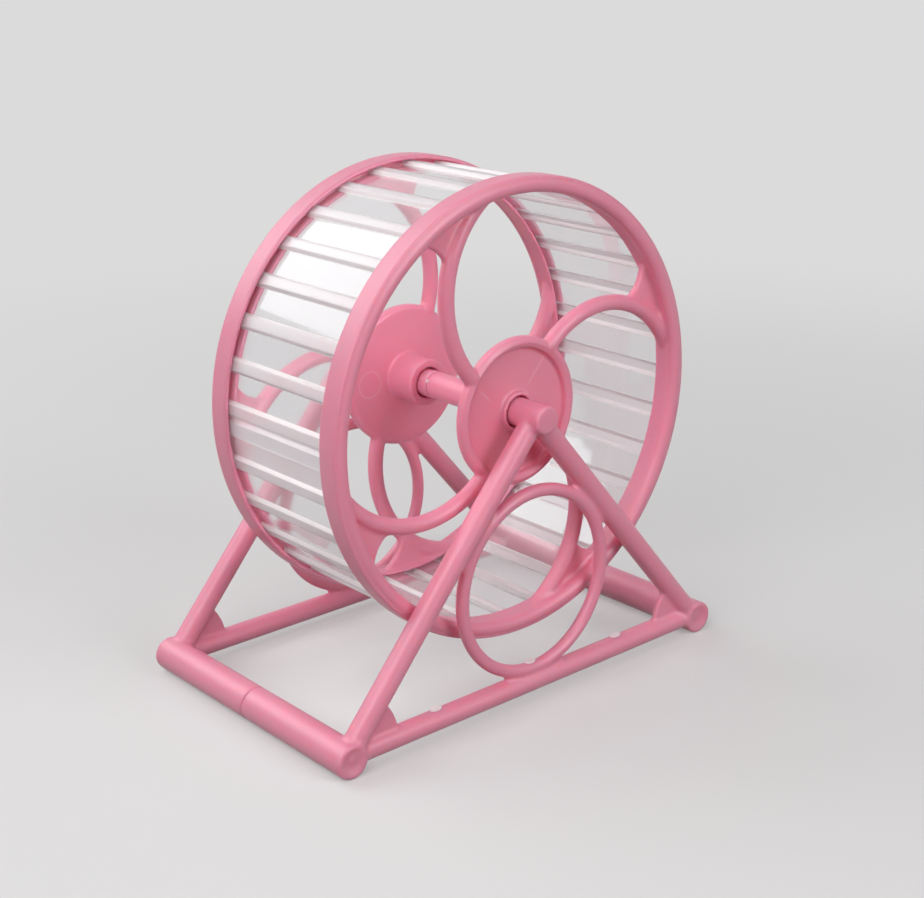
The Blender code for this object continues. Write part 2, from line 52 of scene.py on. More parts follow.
camera_back = Vector((math.sin(CAMERA_AZIMUTH) * math.cos(CAMERA_ELEVATION),
                      -math.cos(CAMERA_AZIMUTH) * math.cos(CAMERA_ELEVATION),
                      math.sin(CAMERA_ELEVATION)))
camera_level = Vector((math.cos(CAMERA_AZIMUTH), math.sin(CAMERA_AZIMUTH), 0.0))
camera_upright = camera_back.cross(camera_level)
camera_right = camera_level * math.cos(CAMERA_ROLL) + camera_upright * math.sin(CAMERA_ROLL)
camera_up = camera_upright * math.cos(CAMERA_ROLL) - camera_level * math.sin(CAMERA_ROLL)

bpy.ops.object.camera_add()
camera = bpy.context.object
camera.name = "camera"
camera.matrix_world = (Matrix.Translation(CAMERA_PLACE)
                       @ Matrix((camera_right, camera_up, camera_back)).transposed().to_4x4())
camera.data.lens = CAMERA_LENS_MM
camera.data.sensor_fit = "HORIZONTAL"
camera.data.sensor_width = 36.0
camera.data.clip_start = 0.01
bpy.context.scene.camera = camera
bpy.context.scene.view_settings.view_transform = "Standard"


# Floor and soft studio light
# A pale matt table, one large soft box up on the left, a weaker one in front
# and one high up behind, in a room that is pale to the eye and dim as a lamp.
def linear(hex_colour):
    """An sRGB hex colour as linear red, green, blue and alpha."""
    channels = [int(hex_colour[i:i + 2], 16) / 255.0 for i in (1, 3, 5)]
    return [c / 12.92 if c <= 0.04045 else ((c + 0.055) / 1.055) ** 2.4 for c in channels] + [1.0]


def add_node(tree, kind, settings=(), values=(), links=()):
    """Add a shader node, set its options and inputs, and feed it from other sockets."""
    node = tree.nodes.new(kind)
    for option, value in dict(settings).items():
        setattr(node, option, value)
    for socket, value in dict(values).items():
        node.inputs[socket].default_value = value
    for socket, source in dict(links).items():
        tree.links.new(source, node.inputs[socket])
    return node


def seen_directly(tree):
    """One where the eye, a reflection or a clear sheet sees the surface, else nought."""
    rays = add_node(tree, "ShaderNodeLightPath")
    eye = add_node(tree, "ShaderNodeMath", {"operation": "MAXIMUM"},
                   links={0: rays.outputs["Is Camera Ray"], 1: rays.outputs["Is Glossy Ray"]})
    return add_node(tree, "ShaderNodeMath", {"operation": "MAXIMUM"},
                    links={0: eye.outputs[0], 1: rays.outputs["Is Transmission Ray"]})


BACKDROP_COLOUR = linear("#DCDBDB")
FLOOR_COLOUR = linear("#EDECEC")
FLOOR_BOUNCE_COLOUR = linear("#6A6767")
FLOOR_RADIUS = 7.0
SHADOW_REACH = 0.10
BACKDROP_START = 0.55
NEAR_BACKDROP_SHARE = 0.35
ROOM_LAMP_SHARE = 0.10

bpy.ops.mesh.primitive_circle_add(vertices=96, radius=FLOOR_RADIUS, fill_type="NGON")
floor = bpy.context.object
floor.name = "floor"
floor_paint = bpy.data.materials.new("matt_painted_table")
floor_paint.use_nodes = True
table = floor_paint.node_tree
floor_eye = seen_directly(table)
floor_shader = table.nodes["Principled BSDF"]
floor_shader.inputs["Roughness"].default_value = 0.9
floor_shader.inputs["Specular IOR Level"].default_value = 0.2
floor_tint = add_node(table, "ShaderNodeMix", {"data_type": "RGBA"},
                      {"A": FLOOR_BOUNCE_COLOUR, "B": FLOOR_COLOUR},
                      {"Factor": floor_eye.outputs[0]})
table.links.new(floor_tint.outputs["Result"], floor_shader.inputs["Base Color"])
floor_place = add_node(table, "ShaderNodeTexCoord")
floor_reach = add_node(table, "ShaderNodeVectorMath", {"operation": "LENGTH"},
                       links={0: floor_place.outputs["Object"]})
beyond = add_node(table, "ShaderNodeMapRange", {"interpolation_type": "SMOOTHSTEP"},
                  {"From Min": SHADOW_REACH, "From Max": BACKDROP_START,
                   "To Min": NEAR_BACKDROP_SHARE, "To Max": 1.0},
                  {"Value": floor_reach.outputs["Value"]})
backdrop_share = add_node(table, "ShaderNodeMath", {"operation": "MULTIPLY"},
                          links={0: beyond.outputs[0], 1: floor_eye.outputs[0]})
backdrop = add_node(table, "ShaderNodeEmission", values={"Color": BACKDROP_COLOUR})
floor_mix = add_node(table, "ShaderNodeMixShader",
                     links={0: backdrop_share.outputs[0], 1: floor_shader.outputs[0],
                            2: backdrop.outputs[0]})
table.links.new(floor_mix.outputs[0], table.nodes["Material Output"].inputs["Surface"])
floor.data.materials.append(floor_paint)

WHEEL_CENTRE = Vector((0.0, -8.3 * MM, 75.2 * MM))
for lamp_name, lamp_place, lamp_size, lamp_watts in (
        ("soft_box_left", Vector((-0.66, -0.26, 0.60)), 0.66, 4.1),
        ("soft_box_front", Vector((0.22, -0.86, 0.48)), 0.50, 4.0),
        ("soft_box_behind", Vector((-0.34, 0.62, 0.74)), 0.80, 5.0)):
    bpy.ops.object.light_add(type="AREA", location=lamp_place)
    lamp = bpy.context.object
    lamp.name = lamp_name
    lamp.data.shape = "SQUARE"
    lamp.data.size = lamp_size
    lamp.data.energy = lamp_watts
    lamp.rotation_euler = (lamp_place - WHEEL_CENTRE).to_track_quat("Z", "Y").to_euler()

world = bpy.data.worlds.new("pale_room")
bpy.context.scene.world = world
world.use_nodes = True
room = world.node_tree
room.nodes.clear()
room_strength = add_node(room, "ShaderNodeMapRange",
                         values={"To Min": ROOM_LAMP_SHARE, "To Max": 1.0},
                         links={"Value": seen_directly(room).outputs[0]})
room_light = add_node(room, "ShaderNodeBackground", values={"Color": BACKDROP_COLOUR},
                      links={"Strength": room_strength.outputs[0]})
add_node(room, "ShaderNodeOutputWorld", links={"Surface": room_light.outputs[0]})


# Pink polystyrene
# General purpose polystyrene, pigmented pink and injection moulded in a polished
# mould: a soft gloss, a little light carried under the skin, and a barely seen
# drift of colour along the way the melt flowed.
PINK_DEEP = linear("#F08FA9")
PINK_PALE = linear("#F399B2")
MARK_TINT = linear("#FBD3DF")
MARK_STRENGTH = 0.55
RING_MARK_DEPTH = 0.3
MELT_DRIFT = 18.0 * MM
SKIN_HAZE = 3.0 * MM
SKIN_RIPPLE = 0.05 * MM
GLOW_DEPTH = 3.0 * MM


def boxed_mark(tree, place, middle, half_size, turn):
    """One inside a small turned box, else nought, for a mark at one place of a moulding."""
    inside = add_node(tree, "ShaderNodeMapping", {"vector_type": "TEXTURE"},
                      {"Location": middle, "Rotation": (0.0, turn, 0.0), "Scale": half_size},
                      {"Vector": place.outputs["Object"]})
    reach = add_node(tree, "ShaderNodeVectorMath", {"operation": "ABSOLUTE"},
                     links={0: inside.outputs[0]})
    sides = add_node(tree, "ShaderNodeSeparateXYZ", links={0: reach.outputs[0]})
    wider = add_node(tree, "ShaderNodeMath", {"operation": "MAXIMUM"},
                     links={0: sides.outputs[0], 1: sides.outputs[1]})
    widest = add_node(tree, "ShaderNodeMath", {"operation": "MAXIMUM"},
                      links={0: wider.outputs[0], 1: sides.outputs[2]})
    return add_node(tree, "ShaderNodeMapRange", values={"From Min": 1.0, "From Max": 0.6},
                    links={"Value": widest.outputs[0]})


def ringed_mark(tree, place, middle, radius, half_width):
    """One on a thin ring about a point of one face, too shallow to show on the other face."""
    inside = add_node(tree, "ShaderNodeMapping", {"vector_type": "TEXTURE"},
                      {"Location": middle, "Scale": (radius, radius * RING_MARK_DEPTH, radius)},
                      {"Vector": place.outputs["Object"]})
    reach = add_node(tree, "ShaderNodeVectorMath", {"operation": "LENGTH"},
                     links={0: inside.outputs[0]})
    beside = add_node(tree, "ShaderNodeMath", {"operation": "SUBTRACT"}, {1: 1.0},
                      {0: reach.outputs["Value"]})
    beside = add_node(tree, "ShaderNodeMath", {"operation": "ABSOLUTE"}, links={0: beside.outputs[0]})
    return add_node(tree, "ShaderNodeMapRange",
                    values={"From Min": half_width / radius, "From Max": 0.0},
                    links={"Value": beside.outputs[0]})


def pink_polystyrene(name, weld_lines=(), pin_rings=()):
    """Pink pigmented polystyrene, injection moulded, with the marks its mould left."""
    material = bpy.data.materials.new(name)
    material.use_nodes = True
    tree = material.node_tree
    shader = tree.nodes["Principled BSDF"]
    place = add_node(tree, "ShaderNodeTexCoord")
    flow = add_node(tree, "ShaderNodeTexNoise",
                    values={"Scale": 1.0 / MELT_DRIFT, "Detail": 2.0, "Roughness": 0.5},
                    links={"Vector": place.outputs["Object"]})
    tint = add_node(tree, "ShaderNodeMix", {"data_type": "RGBA"}, {"A": PINK_DEEP, "B": PINK_PALE},
                    {"Factor": flow.outputs["Fac"]})
    marks = [boxed_mark(tree, place, *weld_line) for weld_line in weld_lines]
    marks += [ringed_mark(tree, place, *pin_ring) for pin_ring in pin_rings]
    for mark in marks:
        paler = add_node(tree, "ShaderNodeMath", {"operation": "MULTIPLY"}, {1: MARK_STRENGTH},
                         {0: mark.outputs[0]})
        tint = add_node(tree, "ShaderNodeMix", {"data_type": "RGBA"}, {"B": MARK_TINT},
                        {"Factor": paler.outputs[0], "A": tint.outputs["Result"]})
    tree.links.new(tint.outputs["Result"], shader.inputs["Base Color"])
    haze = add_node(tree, "ShaderNodeTexNoise",
                    values={"Scale": 1.0 / SKIN_HAZE, "Detail": 3.0, "Roughness": 0.6},
                    links={"Vector": place.outputs["Object"]})
    gloss = add_node(tree, "ShaderNodeMapRange", values={"To Min": 0.34, "To Max": 0.44},
                     links={"Value": haze.outputs["Fac"]})
    tree.links.new(gloss.outputs[0], shader.inputs["Roughness"])
    ripple = add_node(tree, "ShaderNodeBump", values={"Strength": 0.06, "Distance": SKIN_RIPPLE},
                      links={"Height": haze.outputs["Fac"]})
    tree.links.new(ripple.outputs[0], shader.inputs["Normal"])
    shader.inputs["IOR"].default_value = 1.59
    shader.inputs["Metallic"].default_value = 0.0
    shader.inputs["Specular IOR Level"].default_value = 0.6
    shader.inputs["Subsurface Weight"].default_value = 0.6
    shader.inputs["Subsurface Radius"].default_value = (1.0, 0.15, 0.25)
    shader.inputs["Subsurface Scale"].default_value = GLOW_DEPTH
    return material


# Stand side
# One injection moulding: two legs, a bar along the floor with a web in each
# corner, a ring, and the front half of each cross tube and of the axle. The
# rear side is the same moulding turned round and plugged into it.
STAND_PINK = pink_polystyrene("pink_polystyrene_stand_moulded")
AXLE_HEIGHT = 75.2 * MM
FOOT_REACH = 60.5 * MM
FOOT_HEIGHT = 4.4 * MM
FOOT_TUBE_RADIUS = 4.42 * MM
FOOT_TUBE_LENGTH = 40.25 * MM
SIDE_PLANE = -37.0 * MM
LEG_RADIUS = 2.85 * MM
BASE_BAR_RADIUS = 2.72 * MM
BASE_BAR_HEIGHT = 4.598 * MM
RING_RADIUS = 23.85 * MM
RING_WIRE_RADIUS = 1.7 * MM
RING_HEIGHT = 31.998 * MM
GUSSET_RADIUS = 15.8 * MM
GUSSET_THICKNESS = 1.6 * MM
AXLE_RADIUS = 3.6 * MM
AXLE_LENGTH = 41.7 * MM
END_ROUND = 0.35 * MM
SEAM_ROUND = 0.25 * MM
DISH_RADIUS = 3.5 * MM
DISH_DEPTH = 0.95 * MM
# each step's share of the dish's radius, and of its depth
DISH_STEPS = ((0.22, 0.39), (0.24, 0.32), (0.24, 0.20), (0.20, 0.08))
STAND_GRAIN = 0.36 * MM
STAND_SKIN_GRAIN = 0.31 * MM
STAND_FILLET = 0.35 * MM
STAND_SMOOTHING = 4
MOST_TRIANGLES = 190000
HAIR = 0.01 * MM


def select_where(piece, part, test):
    """In edit mode, select only the vertices, edges or faces whose middle passes a test."""
    bpy.ops.mesh.select_mode(type=part)
    bpy.ops.mesh.select_all(action="DESELECT")
    drawn = bmesh.from_edit_mesh(piece.data)
    for item in {"VERT": drawn.verts, "EDGE": drawn.edges, "FACE": drawn.faces}[part]:
        corners = [item.co] if part == "VERT" else [corner.co for corner in item.verts]
        if test(sum(corners, Vector()) / len(corners)):
            item.select_set(True)
    bmesh.update_edit_mesh(piece.data)


def bar(start, end, radius, sides=64):
    """A straight round bar between two points, with its place in its mesh."""
    run = Vector(end) - Vector(start)
    bpy.ops.mesh.primitive_cylinder_add(
        vertices=sides, radius=radius, depth=run.length, location=(Vector(start) + Vector(end)) / 2.0,
        rotation=run.to_track_quat("Z", "Y").to_euler())
    bpy.ops.object.transform_apply(location=True, rotation=True, scale=True)
    return bpy.context.object


def pick(*pieces):
    """Select only these objects, and make the first one active."""
    bpy.ops.object.select_all(action="DESELECT")
    for piece in pieces:
        piece.select_set(True)
    bpy.context.view_layer.objects.active = pieces[0]


def join(parts, name):
    """Join parts into one object."""
    pick(*parts)
    bpy.ops.object.join()
    parts[0].name = name
    parts[0].data.name = name
    return parts[0]


def finish_with(piece, kind, **settings):
    """Give a piece one modifier and apply it."""
    pick(piece)
    step = piece.modifiers.new(kind.lower(), kind)
    for option, value in settings.items():
        setattr(step, option, value)
    bpy.ops.object.modifier_apply(modifier=step.name)


def melt(piece, grain, fillet):
    """Melt overlapping bars into one skin, and fill its inner corners to a radius."""
    finish_with(piece, "REMESH", mode="VOXEL", voxel_size=grain)
    finish_with(piece, "DISPLACE", mid_level=0.0, strength=fillet)
    finish_with(piece, "REMESH", mode="VOXEL", voxel_size=grain)
    finish_with(piece, "DISPLACE", mid_level=0.0, strength=-fillet)


def polish(piece, grain, smoothing):
    """Give a moulding its final even skin, thinned to the triangles it needs."""
    finish_with(piece, "REMESH", mode="VOXEL", voxel_size=grain)
    finish_with(piece, "SMOOTH", factor=0.5, iterations=smoothing)
    share = MOST_TRIANGLES / (2.0 * len(piece.data.polygons))
    if share < 1.0:
        finish_with(piece, "DECIMATE", ratio=share)
    bpy.ops.object.shade_smooth()


parts = []
for side in (-1.0, 1.0):
    parts.append(bar((0.0, SIDE_PLANE, AXLE_HEIGHT), (side * FOOT_REACH, SIDE_PLANE, FOOT_HEIGHT),
                     LEG_RADIUS))

    # cross tube half, with its open end dished and its edge rounded
    tube = bar((side * FOOT_REACH, 0.0, FOOT_HEIGHT),
               (side * FOOT_REACH, -FOOT_TUBE_LENGTH, FOOT_HEIGHT), FOOT_TUBE_RADIUS)
    bpy.ops.object.mode_set(mode="EDIT")
    select_where(tube, "FACE", lambda middle: middle.y < -FOOT_TUBE_LENGTH + HAIR)
    bpy.ops.mesh.bevel(offset=END_ROUND, segments=4, affect="EDGES")
    select_where(tube, "FACE", lambda middle: middle.y < -FOOT_TUBE_LENGTH + HAIR)
    bpy.ops.mesh.inset(thickness=FOOT_TUBE_RADIUS - END_ROUND - DISH_RADIUS, depth=0.0)
    for step_in, step_down in DISH_STEPS:
        bpy.ops.mesh.inset(thickness=DISH_RADIUS * step_in, depth=-DISH_DEPTH * step_down)

    # the other end is eased too, which leaves the fine groove where the halves meet
    select_where(tube, "FACE", lambda middle: middle.y > -HAIR)
    bpy.ops.mesh.bevel(offset=SEAM_ROUND, segments=2, affect="EDGES")
    bpy.ops.object.mode_set(mode="OBJECT")
    parts.append(tube)

    # web in the corner between leg and base bar
    bpy.ops.mesh.primitive_cylinder_add(
        vertices=96, radius=GUSSET_RADIUS, depth=GUSSET_THICKNESS,
        location=(side * FOOT_REACH, SIDE_PLANE, FOOT_HEIGHT), rotation=(math.pi / 2.0, 0.0, 0.0))
    bpy.ops.object.transform_apply(location=True, rotation=True, scale=True)
    web = bpy.context.object
    leg_run = Vector((-side * FOOT_REACH, 0.0, AXLE_HEIGHT - FOOT_HEIGHT))
    leg_outside = Vector((side * leg_run.z, 0.0, FOOT_REACH))
    bpy.ops.object.mode_set(mode="EDIT")
    for across in (leg_outside, Vector((0.0, 0.0, -1.0))):
        bpy.ops.mesh.select_all(action="SELECT")
        bpy.ops.mesh.bisect(plane_co=(side * FOOT_REACH, SIDE_PLANE, FOOT_HEIGHT), plane_no=across,
                            use_fill=True, clear_outer=True)
    bpy.ops.object.mode_set(mode="OBJECT")
    parts.append(web)

parts.append(bar((-FOOT_REACH, SIDE_PLANE, BASE_BAR_HEIGHT), (FOOT_REACH, SIDE_PLANE, BASE_BAR_HEIGHT),
                 BASE_BAR_RADIUS))
axle = bar((0.0, 0.0, AXLE_HEIGHT), (0.0, -AXLE_LENGTH, AXLE_HEIGHT), AXLE_RADIUS)
bpy.ops.object.mode_set(mode="EDIT")
select_where(axle, "FACE", lambda middle: middle.y < -AXLE_LENGTH + HAIR)
bpy.ops.mesh.bevel(offset=END_ROUND, segments=4, affect="EDGES")
bpy.ops.object.mode_set(mode="OBJECT")
parts.append(axle)
bpy.ops.mesh.primitive_torus_add(
    major_radius=RING_RADIUS, minor_radius=RING_WIRE_RADIUS, major_segments=160, minor_segments=32,
    location=(0.0, SIDE_PLANE, RING_HEIGHT), rotation=(math.pi / 2.0, 0.0, 0.0))
bpy.ops.object.transform_apply(location=True, rotation=True, scale=True)
parts.append(bpy.context.object)

# scars on the top of the base bar and in the ring, where the runner was torn off; the torn
# plastic is rough and whitened. A nib of flash by the axle's seam takes the same near-white
# finish, and on it that white is a painted highlight, the glint along the seam
GATE_LENGTH = 3.6 * MM
GATE_HEIGHT = 0.7 * MM
GATE_SQUEEZE = 0.55
GATE_TILT = 0.06
# each step's share of the scar's length, and its rise
GATE_STEPS = ((0.12, -0.06 * MM), (0.08, 0.04 * MM))
GATE_EDGE_ROUND = 0.05 * MM
GATE_SINK = 0.05 * MM
GATE_PLANE = SIDE_PLANE + 0.3 * MM
BAR_TOP = BASE_BAR_HEIGHT + BASE_BAR_RADIUS
RING_INSIDE = RING_HEIGHT - RING_RADIUS + RING_WIRE_RADIUS
GATE_PLACES = ((-32.5 * MM, GATE_PLANE, BAR_TOP - GATE_SINK), (30.5 * MM, GATE_PLANE, BAR_TOP - GATE_SINK),
               (-1.0 * MM, GATE_PLANE, RING_INSIDE - GATE_SINK))
FLASH_LENGTH = 1.1 * MM
FLASH_PLACE = (-3.05 * MM, -0.2 * MM, AXLE_HEIGHT + 1.75 * MM)
TORN_GRAIN = 0.4 * MM

# near white: real stress whitening on the gate scars, and a painted highlight on the flash nib
WHITENED_AND_PAINTED_GLINT = bpy.data.materials.new("pink_polystyrene_whitened_and_painted_glint")
WHITENED_AND_PAINTED_GLINT.use_nodes = True
torn = WHITENED_AND_PAINTED_GLINT.node_tree
torn_shader = torn.nodes["Principled BSDF"]
torn_place = add_node(torn, "ShaderNodeTexCoord")
torn_grain = add_node(torn, "ShaderNodeTexNoise",
                      values={"Scale": 1.0 / TORN_GRAIN, "Detail": 3.0},
                      links={"Vector": torn_place.outputs["Object"]})
whitened_and_glint_tint = add_node(torn, "ShaderNodeMix", {"data_type": "RGBA"},
                     {"A": linear("#FBE3E8"), "B": linear("#FFFAFA")},
                     {"Factor": torn_grain.outputs["Fac"]})
torn.links.new(whitened_and_glint_tint.outputs["Result"], torn_shader.inputs["Base Color"])
torn_bump = add_node(torn, "ShaderNodeBump", values={"Strength": 0.5, "Distance": 0.06 * MM},
                     links={"Height": torn_grain.outputs["Fac"]})
torn.links.new(torn_bump.outputs[0], torn_shader.inputs["Normal"])
torn_shader.inputs["Roughness"].default_value = 0.6


def gate_scar(place, length):
    """A low nib, hollowed in its middle, in the near-white finish: a torn gate scar where the runner was
    snapped off, and the flash nib, whose white is a painted highlight.
    """
    bpy.ops.mesh.primitive_cylinder_add(vertices=18, radius=length / 2.0, depth=GATE_HEIGHT,
                                        location=place, rotation=(0.0, GATE_TILT, 0.0))
    scar = bpy.context.object
    scar.scale.y = GATE_SQUEEZE
    bpy.ops.object.transform_apply(location=True, rotation=True, scale=True)
    bpy.ops.object.mode_set(mode="EDIT")
    top = place[2] + GATE_HEIGHT / 4.0
    select_where(scar, "FACE", lambda middle: middle.z > top)
    for step_in, rise in GATE_STEPS:
        bpy.ops.mesh.inset(thickness=length * step_in, depth=rise)
    bpy.ops.object.mode_set(mode="OBJECT")
    finish_with(scar, "BEVEL", width=GATE_EDGE_ROUND, segments=2, limit_method="ANGLE")
    bpy.ops.object.shade_smooth_by_angle(angle=math.radians(35.0))
    scar.data.materials.clear()
    scar.data.materials.append(WHITENED_AND_PAINTED_GLINT)
    return scar


front_side = join(parts, "front_stand_side")
melt(front_side, STAND_GRAIN, STAND_FILLET)
polish(front_side, STAND_SKIN_GRAIN, STAND_SMOOTHING)
front_side.data.materials.clear()
front_side.data.materials.append(STAND_PINK)

# the rear side left its runner cleanly, so only the front one has scars
pick(front_side)
bpy.ops.object.duplicate()
rear_side = bpy.context.object
rear_side.name = "rear_stand_side"
rear_side.data.name = "rear_stand_side"
rear_side.rotation_euler.z = math.pi
bpy.ops.object.transform_apply(location=True, rotation=True, scale=True)
scars = [gate_scar(place, GATE_LENGTH) for place in GATE_PLACES]
# the flash nib's near-white finish is a painted highlight standing for the glint on the axle's seam
scars.append(gate_scar(FLASH_PLACE, FLASH_LENGTH))
front_side = join([front_side] + scars, "front_stand_side")

for label, stand_side in (("front", front_side), ("rear", rear_side)):
    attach(stand_side, "stand")
    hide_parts(f"{label}_left_leg", f"{label}_right_leg", f"{label}_left_foot_tube",
                f"{label}_right_foot_tube", f"{label}_base_bar", f"{label}_ring", f"{label}_axle")


# Wheel side frame
# One injection moulding: a U-shaped rim with a slot in its back for the track,
# four round arms that each sweep to the rim in one curve with a thin web in the
# corner, and a dished hub with a long bearing boss. The same moulding closes
# both sides of the wheel.
WHEEL_RADIUS = 58.0 * MM
RIM_FACE = 25.0 * MM
RIM_BACK = 18.7 * MM
RIM_INNER_RADIUS = 53.8 * MM
RIM_WALL_INNER = 53.98 * MM
SLOT_INNER_RADIUS = 54.78 * MM
SLOT_OUTER_RADIUS = 56.88 * MM
SLOT_DEPTH = 3.0 * MM
SLOT_ROOM_SIDE = 2.0 * MM
SLOT_ROOM_STEP = 0.1 * MM
BEAD_RADIUS = 1.9 * MM
BEAD_STAND = 0.4 * MM
BAND_EDGE_ROUND = 0.5 * MM
HUB_RADIUS = 18.8 * MM
HUB_BACK = 20.4 * MM
HUB_FLOOR = 21.8 * MM
HUB_LIP_WIDTH = 2.8 * MM
HUB_LIP_HEIGHT = 2.0 * MM
HUB_EDGE_ROUND = 0.8 * MM
BOSS_RADIUS = 6.2 * MM
BOSS_LENGTH = 9.2 * MM
BOSS_END_ROUND = 0.35 * MM
BORE_RADIUS = 4.1 * MM
NOSE_RADIUS = 5.0 * MM
NOSE_HEIGHT = 1.4 * MM
ARM_RADIUS = 2.05 * MM
ARM_ARC_RADIUS = 28.6 * MM
ARM_ARC_CENTRE = 30.87 * MM
ARM_START = math.radians(40.0)
ARM_END = math.radians(144.0)
ARM_PLANE = 20.8 * MM
ARM_SLOPE = math.radians(1.55)
WEB_THICKNESS = 1.8 * MM
WEB_ARC_ANGLE = math.radians(86.0)
WEB_RIM_ANGLE = math.radians(45.7)
WEB_RIM_HOLD = 2.0 * MM
WEB_HOLLOW_SHARE = 0.14
WEB_ARC_STEPS = 12
WEB_RIM_STEPS = 8
WEB_EDGE_STEPS = 10
FRONT_ARM_PHASE = math.radians(-12.5)
REAR_ARM_PHASE = math.radians(53.0)
WHEEL_GRAIN = 0.40 * MM
WHEEL_SKIN_GRAIN = 0.29 * MM
WHEEL_FILLET = 0.35 * MM
WHEEL_SMOOTHING = 3
CORE_INSET = 0.12 * MM
SAME_POINT = 0.001 * MM

# on the floor of the front hub, two weld lines where the melt met beyond the bore
# (middle, half sizes and turn), and on the back of the rear hub the ring that an
# ejector pin left (middle, radius and half width)
FRONT_FLOOR_PLACE = WHEEL_CENTRE.y - HUB_FLOOR
REAR_BACK_PLACE = WHEEL_CENTRE.y + HUB_BACK
WELD_LINES = (((7.0 * MM, FRONT_FLOOR_PLACE, AXLE_HEIGHT + 9.15 * MM), (4.8 * MM, 0.3 * MM, 0.17 * MM),
               math.radians(-49.1)),
              ((-9.87 * MM, FRONT_FLOOR_PLACE, AXLE_HEIGHT + 5.64 * MM), (2.5 * MM, 0.3 * MM, 0.14 * MM),
               math.radians(44.5)))
PIN_RINGS = (((-12.2 * MM, REAR_BACK_PLACE, AXLE_HEIGHT - 0.2 * MM), 3.5 * MM, 0.22 * MM),)
WHEEL_PINK = pink_polystyrene("pink_polystyrene_wheel_moulded", WELD_LINES, PIN_RINGS)


def draw(points, closed=False):
    """Draw a line of edges as by hand, by extruding one vertex from point to point."""
    bpy.ops.mesh.primitive_plane_add(size=MM, location=points[0])
    bpy.ops.object.transform_apply(location=True, rotation=True, scale=True)
    bpy.ops.object.mode_set(mode="EDIT")
    bpy.ops.mesh.select_mode(type="VERT")
    bpy.ops.mesh.select_all(action="SELECT")
    bpy.ops.mesh.merge(type="CENTER")
    path = list(points) + [points[0]] * closed
    for place, following in zip(path, path[1:]):
        step = Vector(following) - Vector(place)
        bpy.ops.mesh.extrude_vertices_move(TRANSFORM_OT_translate={"value": step})
    bpy.ops.mesh.select_all(action="SELECT")
    bpy.ops.mesh.remove_doubles(threshold=SAME_POINT)
    return bpy.context.object


def turn_on_axle(points, steps):
    """Draw a closed (radius, distance outwards) outline and spin it round the Y axis."""
    drawn = draw([(radius, -outwards, 0.0) for radius, outwards in points], closed=True)
    bpy.ops.mesh.spin(steps=steps, angle=2.0 * math.pi, center=(0.0, 0.0, 0.0), axis=(0.0, 1.0, 0.0))
    bpy.ops.mesh.select_all(action="SELECT")
    bpy.ops.mesh.remove_doubles(threshold=SAME_POINT)
    bpy.ops.mesh.normals_make_consistent(inside=False)
    bpy.ops.object.mode_set(mode="OBJECT")
    return drawn


bead_centre_radius = RIM_INNER_RADIUS + BEAD_RADIUS
bead_centre = RIM_FACE + BEAD_STAND - BEAD_RADIUS
rim_outline = [(RIM_WALL_INNER, RIM_BACK), (SLOT_INNER_RADIUS, RIM_BACK),
               (SLOT_INNER_RADIUS, RIM_BACK + SLOT_DEPTH), (SLOT_OUTER_RADIUS, RIM_BACK + SLOT_DEPTH),
               (SLOT_OUTER_RADIUS, RIM_BACK), (WHEEL_RADIUS - BAND_EDGE_ROUND, RIM_BACK),
               (WHEEL_RADIUS, RIM_BACK + BAND_EDGE_ROUND), (WHEEL_RADIUS, RIM_FACE - BAND_EDGE_ROUND),
               (WHEEL_RADIUS - BAND_EDGE_ROUND, RIM_FACE)]
for degrees in range(35, 206, 10):
    angle = math.radians(degrees)
    rim_outline.append((bead_centre_radius + BEAD_RADIUS * math.cos(angle),
                        bead_centre + BEAD_RADIUS * math.sin(angle)))
rim = turn_on_axle(rim_outline, steps=240)

hub_crest = HUB_FLOOR + HUB_LIP_HEIGHT
lip_inner = HUB_RADIUS - HUB_LIP_WIDTH
boss_end = HUB_BACK - BOSS_LENGTH
hub = turn_on_axle([(BORE_RADIUS, boss_end), (BOSS_RADIUS - BOSS_END_ROUND, boss_end),
                    (BOSS_RADIUS, boss_end + BOSS_END_ROUND), (BOSS_RADIUS, HUB_BACK),
                    (HUB_RADIUS - HUB_EDGE_ROUND, HUB_BACK), (HUB_RADIUS, HUB_BACK + HUB_EDGE_ROUND),
                    (HUB_RADIUS, hub_crest - HUB_EDGE_ROUND), (HUB_RADIUS - HUB_LIP_WIDTH / 2.0, hub_crest),
                    (lip_inner, hub_crest - HUB_EDGE_ROUND), (lip_inner, HUB_FLOOR),
                    (NOSE_RADIUS, HUB_FLOOR), (NOSE_RADIUS, HUB_FLOOR + NOSE_HEIGHT),
                    (BORE_RADIUS, HUB_FLOOR + NOSE_HEIGHT)], steps=120)

# plain cores of the rim and hub, just under their skins, for the arms to melt into
core_bead = [(bead_centre_radius + (BEAD_RADIUS - CORE_INSET) * math.cos(math.radians(degrees)),
              bead_centre + (BEAD_RADIUS - CORE_INSET) * math.sin(math.radians(degrees)))
             for degrees in range(45, 206, 10)]
rim_core = turn_on_axle([(RIM_WALL_INNER + CORE_INSET, RIM_BACK + CORE_INSET),
                         (SLOT_OUTER_RADIUS, RIM_BACK + CORE_INSET),
                         (SLOT_OUTER_RADIUS, bead_centre)] + core_bead, steps=160)
hub_core = turn_on_axle([(lip_inner + 2.0 * CORE_INSET, HUB_BACK + CORE_INSET),
                         (HUB_RADIUS - HUB_EDGE_ROUND, HUB_BACK + CORE_INSET),
                         (HUB_RADIUS - CORE_INSET, HUB_BACK + HUB_EDGE_ROUND),
                         (HUB_RADIUS - CORE_INSET, hub_crest - HUB_EDGE_ROUND - CORE_INSET),
                         (HUB_RADIUS - HUB_LIP_WIDTH / 2.0, hub_crest - 2.0 * CORE_INSET),
                         (lip_inner + 2.0 * CORE_INSET, HUB_FLOOR)], steps=100)


def arm_point(angle, reach):
    """A point beside an arm's arc, whose centre lies out along X."""
    return Vector((ARM_ARC_CENTRE + reach * math.cos(angle), -ARM_PLANE, reach * math.sin(angle)))


